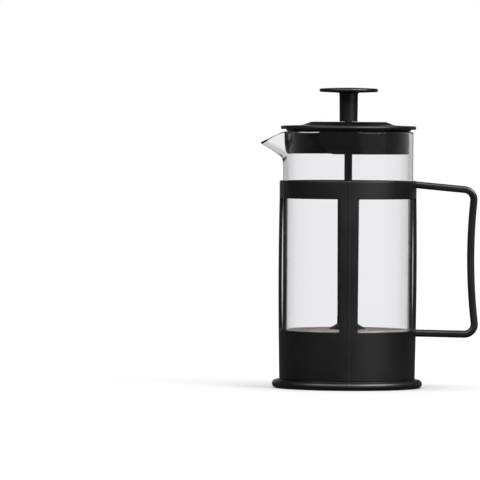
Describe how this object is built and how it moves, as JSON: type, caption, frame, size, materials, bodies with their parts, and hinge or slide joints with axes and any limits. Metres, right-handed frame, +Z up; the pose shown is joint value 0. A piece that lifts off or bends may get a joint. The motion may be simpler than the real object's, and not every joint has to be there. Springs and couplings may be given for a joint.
{
  "type": "french press",
  "caption": "Small french press: glass beaker with a spout in a black moulded cage with a handle, lid and filter plunger with a mushroom knob.",
  "frame": {"origin": "centre of the foot's flat underside, on the axis of the beaker", "axes": "+Z up along the beaker's axis, +X towards the handle, -X towards the spout, -Y is the front"},
  "size_m": [0.1174, 0.0808, 0.1614],
  "materials": {
    "cage_plastic": "satin moulded black polypropylene, faint fine texture",
    "cushion_silicone": "soft matte silicone",
    "clear_glass": "clear, smooth, polished",
    "lid_plastic": "semi-gloss moulded black",
    "bush_plastic": "satin black",
    "knob_plastic": "semi-gloss moulded black",
    "brass": "turned",
    "rod_black": "smooth black coating with a soft sheen",
    "hub_plastic": "satin black",
    "woven_steel": "fine plain weave",
    "sheet_steel": "stamped, satin",
    "spring_steel": "drawn wire"
  },
  "bodies": {
    "holder": {"holder_frame": "cage_plastic", "handle": "cage_plastic", "beaker_cushion": "cushion_silicone"},
    "beaker": {"glass_beaker": "clear_glass"},
    "guide": {"lid_bush": "bush_plastic"},
    "lid": {"lid_cover": "lid_plastic", "lid_skirt": "lid_plastic"},
    "plunger": {"knob": "knob_plastic", "knob_insert": "brass", "plunger_rod": "rod_black", "filter_hub": "hub_plastic", "filter_mesh": "woven_steel", "spiral_plate": "sheet_steel", "edge_spring": "spring_steel", "cross_plate": "sheet_steel", "hub_nut": "sheet_steel"}
  },
  "joints": [
    {"name": "beaker_lift", "type": "slide", "parent": "holder", "child": "beaker", "axis": [0, 0, 1], "range_m": [0, 0.115]},
    {"name": "lid_lift", "type": "slide", "parent": "beaker", "child": "guide", "axis": [0, 0, 1], "range_m": [0, 0.12]},
    {"name": "lid_turn", "type": "hinge", "parent": "guide", "child": "lid", "pos_m": [0, 0, 0.14], "axis": [0, 0, 1], "continuous": true},
    {"name": "plunger_slide", "type": "slide", "parent": "guide", "child": "plunger", "axis": [0, 0, 1], "range_m": [0, 0.09]}
  ]
}
